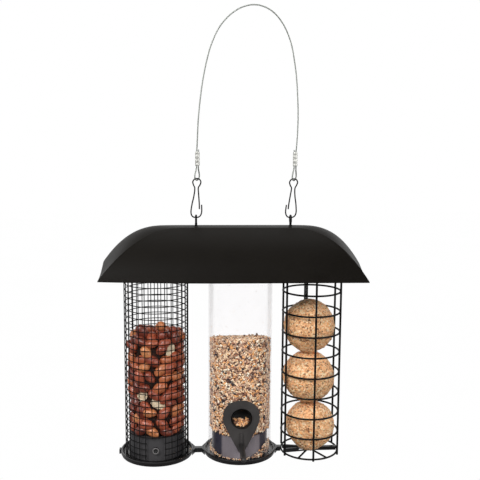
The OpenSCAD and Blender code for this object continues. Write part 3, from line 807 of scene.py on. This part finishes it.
def round_body(length, width, thick, rows, around, point=0.0, wrinkle=0.0, seed=0):
    """A kernel along X: round in section, drawn to a point at one end, as numpy arrays."""
    rng = np.random.default_rng(seed)
    verts = [(-length / 2, 0, 0)]
    for j in range(1, rows):
        t = j / rows
        x = -math.cos(math.pi * t) * length / 2
        swell = math.sin(math.pi * t) ** (1 - 0.25 * point) * (1 - point * 0.35 * (x / length + 0.5) ** 2)
        for k in range(around):
            a = 2 * math.pi * (k + 0.5 * (j % 2)) / around
            r = 1 + wrinkle * rng.uniform(-1, 1)
            verts.append((x, swell * r * width / 2 * math.cos(a), swell * r * thick / 2 * math.sin(a)))
    verts.append((length / 2, 0, 0))
    faces = [(0, 1 + (k + 1) % around, 1 + k) for k in range(around)]
    for j in range(rows - 2):
        a, b = 1 + j * around, 1 + (j + 1) * around
        faces += [(a + k, a + (k + 1) % around, b + (k + 1) % around, b + k) for k in range(around)]
    last = 1 + (rows - 2) * around
    faces += [(last + k, last + (k + 1) % around, len(verts) - 1) for k in range(around)]
    return np.array(verts) * MM, faces


def turned(axis, spin):
    """Rotation that takes X to axis and then spins about it."""
    axis = axis / np.linalg.norm(axis)
    helper = np.array([0, 0, 1.0]) if abs(axis[2]) < 0.9 else np.array([1.0, 0, 0])
    side = np.cross(helper, axis)
    side /= np.linalg.norm(side)
    top = np.cross(axis, side)
    c, s = math.cos(spin), math.sin(spin)
    return np.stack([axis, c * side + s * top, -s * side + c * top], axis=1)


def settle(count, radius, low, high_at, spacing, rng, rounds):
    """Points spread evenly in an upright round column: they push each other apart."""
    angle, dist = rng.uniform(0, 2 * np.pi, count), radius * np.sqrt(rng.uniform(0, 1, count))
    p = np.stack([dist * np.cos(angle), dist * np.sin(angle),
                  rng.uniform(low, high_at(0), count)], axis=1)
    for _ in range(rounds):
        d = p[:, None, :] - p[None, :, :]
        gap = np.sqrt((d ** 2).sum(2)) + np.eye(count)
        push = np.clip(spacing - gap, 0, None) * (1 - np.eye(count))
        p += 0.3 * (d / gap[:, :, None] * push[:, :, None]).sum(1)
        r = np.hypot(p[:, 0], p[:, 1])
        over = np.maximum(r / radius, 1)
        p[:, 0] /= over
        p[:, 1] /= over
        p[:, 2] = np.clip(p[:, 2], low, high_at(np.minimum(r, radius)))
    return p


def nut_places(wall_r, low, heap, rng):
    """Where the kernels lie: rings of them against the mesh, a loose fill inside, three on top."""
    rim = wall_r - NUT_KERNEL_R
    places = []
    for row in range(NUT_ROWS):
        z = low + NUT_KERNEL_R + row * NUT_PITCH
        if z > heap(rim) + 2 * MM:
            break
        for k in range(NUTS_AROUND):
            a = 2 * math.pi * (k + 0.5 * (row % 2) + rng.uniform(-0.22, 0.22)) / NUTS_AROUND
            r = rim - rng.uniform(0, 2.5) * MM
            places.append((r * math.cos(a), r * math.sin(a), z + rng.uniform(-2, 2) * MM))
    inner = settle(NUTS_INSIDE, rim - 11 * MM, heap(0) - 32 * MM, heap, 13 * MM, rng, 80)
    perched = np.array([[6, -15, 11], [-15, -17, 5.5], [20, -14, 6]]) * MM
    perched[:, 2] += heap(0)
    return np.concatenate([np.array(places), inner, perched])


def make_peanuts():
    rng = np.random.default_rng(7)
    low_corner, high_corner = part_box("peanuts")
    wall_r = (high_corner[0] - low_corner[0]) / 2
    top = high_corner[2] - NUT_KERNEL_R - 4.5 * MM

    def heap(r):
        return top - 5 * MM * (r / wall_r) ** 2

    kinds = [round_body(rng.uniform(15.5, 19.5), rng.uniform(11.2, 12.8), rng.uniform(10.4, 11.8), 12,
                        18, 0.7, 0.015, k) for k in range(NUT_KINDS)]
    halves = []
    for verts, faces in kinds[:HALF_KINDS]:
        flat = verts.copy()
        flat[:, 2] = np.maximum(flat[:, 2], 0) * 0.9
        halves.append((flat, faces))
    shape = Shape()
    for p in nut_places(wall_r, low_corner[2], heap, rng):
        r = math.hypot(p[0], p[1])
        out = np.array([p[0], p[1], 0.0]) / max(r, 1e-6)
        axis = rng.normal(size=3)
        axis[2] *= 0.6
        near = max(0.0, min(1.0, (r - wall_r * 0.55) / (wall_r * 0.2)))
        axis -= 0.93 * near * out * axis.dot(out)
        turn = turned(axis, rng.uniform(0, 2 * np.pi))
        split = rng.uniform() < SPLIT_SHARE
        verts, faces = (halves if split else kinds)[rng.integers(HALF_KINDS if split else NUT_KINDS)]
        scale = rng.uniform(0.88, 1.06)
        if split:
            # A split kernel near the wall shows its flat side.
            turn = turned(np.cross(out, rng.normal(size=3)), 0.0)
            turn[:, 2] = -out
            turn[:, 1] = np.cross(turn[:, 2], turn[:, 0])
        placed = verts * scale @ turn.T + p
        reach = np.hypot(placed[:, 0], placed[:, 1]) / (wall_r - 0.2 * MM)
        placed[:, :2] /= np.maximum(reach, 1)[:, None]
        placed[:, 2] = np.maximum(placed[:, 2], low_corner[2])
        shape.add(placed + np.array([NUT_X, 0, 0]), faces, rng.uniform(), 1 if split else 0)
    shape.build("peanut_heap", [PEANUT_SKIN, PEANUT_FLESH], "feeder", "peanut_skin", ["peanuts"])
    # A near-black drum inside the heap: painted shade in the gaps between kernels.
    dark = Shape()
    dark.add(*drum(NUT_X, NUT_CORE_R, low_corner[2], top - 6 * MM))
    dark.build("peanut_heart", [CORE_PAINTED_SHADE], "feeder", "peanut_skin")


def drum(x, r, low, high, around=48, rows=8):
    """Verts and faces of a closed upright cylinder on the row's line."""
    verts = [(x + r * math.cos(2 * math.pi * k / around), r * math.sin(2 * math.pi * k / around),
              low + (high - low) * j / rows) for j in range(rows + 1) for k in range(around)]
    return verts, closed_faces(around, rows)


def grain_kinds():
    """(mesh, lowest tint, highest tint, share): wheat, millet, cut maize, dark seed, chips."""
    return [
        (round_body(4.4, 2.3, 2.0, 4, 5, 0.6), 0.18, 0.9, 0.36),
        (round_body(2.3, 2.1, 2.0, 4, 5), 0.46, 1.0, 0.26),
        (round_body(3.4, 3.0, 2.0, 4, 5, 0.4), 0.3, 0.9, 0.14),
        (round_body(4.6, 2.4, 1.9, 4, 5, 0.9), 0.0, 0.18, 0.1),
        (round_body(2.9, 1.9, 1.2, 4, 5, 0.2), 0.1, 1.0, 0.14),
    ]


def scatter(shape, kinds, rng, place, outward, lie_flat=1.0, scale=1.0):
    """Adds one grain at place, lying against the surface whose outward direction is given."""
    shares = np.array([k[3] for k in kinds])
    pick = rng.choice(len(kinds), p=shares / shares.sum())
    (verts, faces), low, high, _ = kinds[pick]
    axis = rng.normal(size=3)
    axis -= lie_flat * outward * axis.dot(outward)
    turn = turned(axis, rng.uniform(0, 2 * np.pi))
    shape.add(verts * scale * rng.uniform(0.85, 1.15) @ turn.T + place, faces,
              rng.uniform(low, high))


GOLDEN_ANGLE = 2.399963
SEED_COUNT, SEED_TOP_COUNT = 6400, 900
FOOT_COUNT, NECK_COUNT, DUST_COUNT = 900, 190, 90
SEED_CORE_R = 31.6 * MM
SPILLED = ((-47.6, -5), (-47.8, 0.5), (-48.4, -10))


def in_port(p):
    """True where the neck of a feeding port takes the seed's room."""
    return (abs(p[1]) > TUBE_R - NECK_IN - 1.5 * MM
            and math.hypot(p[0], p[2] - PORT_Z) < NECK_R + 1.2 * MM)


def at_angle(r, a, z):
    """A point on an upright cylinder about the seed tube's line, a turning from its front."""
    return np.array([SEED_X + r * math.sin(a), -r * math.cos(a), z])


def outward_at(a):
    return np.array([math.sin(a), -math.cos(a), 0.0])


# Height of the seed caught between cup and tube, from its left side round the front to its right.
FOOT_FILL = (12, 13, 8, 6, 5, 4.6, 5, 8, 13, 18, 20, 16)
FOOT_LOW, THIN_FILL = 4.0 * MM, 8 * MM


def foot_height(a):
    """Height of the caught seed at angle a from the front, in metres."""
    share = (a + math.pi / 2) / math.pi
    if not 0 <= share <= 1:
        return 10 * MM
    place = share * (len(FOOT_FILL) - 1)
    k = min(int(place), len(FOOT_FILL) - 2)
    return (FOOT_FILL[k] + (FOOT_FILL[k + 1] - FOOT_FILL[k]) * (place - k)) * MM


SEED_SLOPE = math.tan(math.radians(11))


def seed_surface(y, top, wall_r):
    """Height of the seed at depth y: it falls from the front of its tube to the back."""
    return top - SEED_SLOPE * (y + wall_r)


def ripple(a):
    return 0.9 * MM * math.sin(3 * a + 0.6) - 0.8 * MM


def make_seed():
    rng = np.random.default_rng(11)
    kinds = grain_kinds()
    low_corner, high_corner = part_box("seed_mix")
    wall_r = (high_corner[0] - low_corner[0]) / 2
    top, low = high_corner[2], low_corner[2]
    lower, upper = Shape(), Shape()
    for i in range(SEED_COUNT):
        a = i * GOLDEN_ANGLE
        r = wall_r - 0.9 * MM - 2.6 * MM * rng.uniform() ** 1.5
        ceiling = seed_surface(-r * math.cos(a), top, wall_r) + ripple(a)
        z = low + 1.5 * MM + (ceiling - low - 2.0 * MM) * (i + 0.5) / SEED_COUNT
        p = at_angle(r, a, z + rng.uniform(-0.6, 0.6) * MM)
        if in_port(p - np.array([SEED_X, 0, 0])):
            continue
        scatter(lower if i < SEED_COUNT / 2 else upper, kinds, rng, p, outward_at(a), 1.0, 1.15)
    for i in range(SEED_TOP_COUNT):
        r = (wall_r - 1.5 * MM) * math.sqrt((i + 0.5) / SEED_TOP_COUNT)
        a = i * GOLDEN_ANGLE
        p = at_angle(r, a, seed_surface(-r * math.cos(a), top, wall_r) - rng.uniform(0.8, 3.2) * MM)
        scatter(upper, kinds, rng, p, np.array([0, 0, 1.0]), 0.7)
    lower.build("seed_grains_low", [GRAIN_SKIN], "feeder", "seed_mix", ["seed_mix"])
    upper.build("seed_grains_high", [GRAIN_SKIN], "feeder", "seed_mix")


def make_loose_seed():
    """Seed at the tube's foot and in the ports' necks, dust on its wall, grains spilled on a tray."""
    rng = np.random.default_rng(13)
    kinds = grain_kinds()
    # Grains in the ports' necks take only the darker tints: painted shade.
    painted_shade_kinds = [(body, 0.09, 0.56, share) for body, _, _, share in kinds]
    shape = Shape()
    for i in range(FOOT_COUNT):
        a = i * GOLDEN_ANGLE
        a -= 2 * math.pi * round(a / (2 * math.pi))
        height = foot_height(a)
        if height < THIN_FILL and rng.uniform() < 0.75:
            continue
        z = FOOT_LOW + (height - FOOT_LOW) * rng.uniform()
        scatter(shape, kinds, rng, at_angle(rng.uniform(33.6, 34.3) * MM, a, z), outward_at(a), 1.0,
                0.6)
    for side in (-1, 1):
        for _ in range(NECK_COUNT):
            x, z = rng.uniform(-11, 11) * MM, rng.uniform(-10.8, -3.5) * MM
            if math.hypot(x, z) > 10.3 * MM:
                continue
            y = (34.5 - 7 * (z / MM + 10.8) / 7.3) * MM
            p = np.array([SEED_X + x, side * y, PORT_Z + z])
            scatter(shape, painted_shade_kinds, rng, p, np.array([0, side * 0.8, 0.6]), 0.6, 0.9)
    wall_foot, wall_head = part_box("seed_mix")[1][2], 0.205
    for _ in range(DUST_COUNT):
        z = wall_foot + (wall_head - wall_foot) * rng.uniform() ** 1.4
        a = rng.uniform(0, 2 * math.pi)
        scatter(shape, kinds[4:], rng, at_angle(TUBE_R - 1.7 * MM, a, z), outward_at(a),
                1.0, rng.uniform(0.15, 0.4))
    for x, y in SPILLED:
        scatter(shape, kinds[:2], rng, np.array([x, y, 3.7]) * MM, np.array([0, 0, 1.0]), 1.0, 0.9)
    shape.build("loose_seed", [GRAIN_SKIN], "feeder", "seed_mix")


def make_core():
    """A near-black sheet inside the seed column, painted shade for its unlit depth, which the outer
    grains lie on.
    """
    low_corner, high_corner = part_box("seed_mix")
    r, low, high = SEED_CORE_R, low_corner[2], high_corner[2] - 3.0 * MM
    wall_r = (high_corner[0] - low_corner[0]) / 2
    around, rows = 64, 40
    verts = []
    for j in range(rows + 1):
        for k in range(around):
            a = 2 * math.pi * k / around
            x, y = r * math.cos(a), r * math.sin(a)
            z = low + (seed_surface(y, high, wall_r) - low) * j / rows
            if math.hypot(x, z - PORT_Z) < NECK_R + 1.5 * MM:
                y = math.copysign(min(abs(y), 19 * MM), y)
            verts.append((SEED_X + x, y, z))
    shape = Shape()
    shape.add(verts, closed_faces(around, rows))
    shape.build("seed_core", [CORE_PAINTED_SHADE], "feeder", "seed_mix")


LUMPS, PITS, CRUMBS, STUCK_GRAINS = 44, 150, 420, 300


def make_fat_ball(name, seed, wide, tall, place, point=0.0):
    """Pressed by hand: not quite round, with crumbs standing out and pits between them."""
    rng = np.random.default_rng(seed)
    low_corner, high_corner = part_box(name)
    centre = np.array([(low_corner[i] + high_corner[i]) / 2 for i in range(3)])
    centre += np.array(place) * MM
    dirs, faces = round_sphere(9)
    lumps = [(unit_random(rng), rng.uniform(0.12, 0.45), rng.uniform(-1.3, 0.9)) for _ in range(LUMPS)]
    pits = [(unit_random(rng), rng.uniform(0.025, 0.06), rng.uniform(-1.6, -0.5))
            for _ in range(PITS)]
    bumps = [(unit_random(rng), rng.uniform(0.02, 0.05), rng.uniform(0.25, 0.75))
             for _ in range(CRUMBS)]
    push = np.full(len(dirs), -0.25)
    for direction, size, height in lumps + pits + bumps:
        gap = 1 - dirs @ direction
        push += height * np.exp(-gap / (size ** 2 / 2))
    push = np.minimum(push + rng.normal(0, 0.09, len(dirs)), 0.6)
    sharp = 1 + point * np.clip(-dirs[:, 2], 0, 1) ** 6
    verts = centre + dirs * (np.array([wide, wide, tall]) + push[:, None]) * MM * np.stack(
        [np.ones(len(dirs)), np.ones(len(dirs)), sharp], axis=1)
    shape = Shape()
    shape.add(verts, faces)
    kinds = grain_kinds()
    for _ in range(STUCK_GRAINS):
        i = rng.integers(len(dirs))
        scatter_slot(shape, kinds, rng, verts[i] - dirs[i] * 0.7 * MM, dirs[i])
    shape.build(f"{name}_pressed", [SUET, GRAIN_SKIN], "feeder", "fat_ball", [name])


def scatter_slot(shape, kinds, rng, place, outward):
    before = len(shape.faces)
    scatter(shape, kinds, rng, place, outward, 1.0, 0.72)
    for i in range(before, len(shape.slots)):
        shape.slots[i] = 1


def unit_random(rng):
    v = rng.normal(size=3)
    return v / np.linalg.norm(v)


def round_sphere(level):
    """Directions and faces of an even sphere: a cube's faces cut finely and blown round."""
    n = 8 * level
    index, dirs, faces = {}, [], []

    def corner(p):
        key = tuple(int(round(c * n)) for c in p)
        if key not in index:
            index[key] = len(dirs)
            q = np.array([math.tan(c * math.pi / 4) for c in p])
            dirs.append(q / np.linalg.norm(q))
        return index[key]

    for axis in range(3):
        for sign in (-1, 1):
            for i in range(n):
                for j in range(n):
                    square = []
                    for di, dj in ((0, 0), (1, 0), (1, 1), (0, 1)):
                        p = [0.0, 0.0, 0.0]
                        p[axis] = sign
                        p[(axis + 1) % 3] = 2 * (i + di) / n - 1
                        p[(axis + 2) % 3] = 2 * (j + dj) / n - 1
                        square.append(corner(p))
                    faces.append(tuple(square if sign > 0 else square[::-1]))
    return np.array(dirs), faces


make_peanuts()
make_seed()
make_loose_seed()
make_core()
make_boss_ring()
make_throats()
make_fat_ball("fat_ball_1", 21, 28.4, 29.6, (0, 0, -0.4), 0.035)
make_fat_ball("fat_ball_2", 22, 30.2, 29.8, (0, 0, -0.4))
make_fat_ball("fat_ball_3", 23, 29.4, 31.2, (0, 0.4, 0.2))

# ---------------------------------------- floor and light

FLOOR_Z = -0.32
floor_mesh = bpy.data.meshes.new("floor")
floor_mesh.from_pydata([(-6, -6, FLOOR_Z), (6, -6, FLOOR_Z), (6, 6, FLOOR_Z), (-6, 6, FLOOR_Z)], [],
                       [(0, 1, 2, 3)])
floor_mesh.materials.append(floor_paint())
floor = bpy.data.objects.new("floor", floor_mesh)
bpy.context.collection.objects.link(floor)
floor.visible_glossy = False


def area_light(name, place, target, size, power):
    data = bpy.data.lights.new(name, "AREA")
    data.shape = "SQUARE"
    data.size = size
    data.energy = power
    light = bpy.data.objects.new(name, data)
    light.location = place
    light.rotation_euler = (Vector(target) - Vector(place)).to_track_quat("-Z", "Y").to_euler()
    bpy.context.collection.objects.link(light)


area_light("key", (-0.9, -1.5, 1.5), (0, 0, 0.2), 0.9, 40)
area_light("fill", (1.3, -1.4, 0.6), (0, 0, 0.2), 1.2, 15)
area_light("top", (0.1, 0.2, 1.9), (0, 0, 0.25), 1.0, 6)


def studio_world():
    """White to the camera; its light is strong from behind and above, weak from front and below."""
    world = bpy.data.worlds.new("studio")
    bpy.context.scene.world = world
    world.use_nodes = True
    tree = world.node_tree
    tree.nodes.clear()
    out = tree.nodes.new("ShaderNodeOutputWorld")
    shown, lit = (tree.nodes.new("ShaderNodeBackground") for _ in range(2))
    blend = tree.nodes.new("ShaderNodeMixShader")
    rays = tree.nodes.new("ShaderNodeLightPath")
    coords = tree.nodes.new("ShaderNodeTexCoord")
    split = tree.nodes.new("ShaderNodeSeparateXYZ")
    height, depth = (tree.nodes.new("ShaderNodeMapRange") for _ in range(2))
    for node, values in ((height, SKY_BY_HEIGHT), (depth, SKY_BY_DEPTH)):
        for name, value in zip(("From Min", "From Max", "To Min", "To Max"), values):
            node.inputs[name].default_value = value
    both = tree.nodes.new("ShaderNodeMath")
    both.operation = "MULTIPLY"
    shown.inputs["Color"].default_value = lit.inputs["Color"].default_value = (1, 1, 1, 1)
    tree.links.new(coords.outputs["Generated"], split.inputs[0])
    tree.links.new(split.outputs["Z"], height.inputs["Value"])
    tree.links.new(split.outputs["Y"], depth.inputs["Value"])
    tree.links.new(height.outputs["Result"], both.inputs[0])
    tree.links.new(depth.outputs["Result"], both.inputs[1])
    tree.links.new(both.outputs[0], lit.inputs["Strength"])
    tree.links.new(rays.outputs["Is Camera Ray"], blend.inputs[0])
    tree.links.new(lit.outputs[0], blend.inputs[1])
    tree.links.new(shown.outputs[0], blend.inputs[2])
    tree.links.new(blend.outputs[0], out.inputs["Surface"])


# Direction's lowest and highest value, then the light at each.
SKY_BY_HEIGHT = (-0.6, 0.2, 0.25, 1.0)
SKY_BY_DEPTH = (-1.0, 1.0, 0.3, 1.15)
studio_world()
bpy.context.scene.view_settings.view_transform = "Standard"
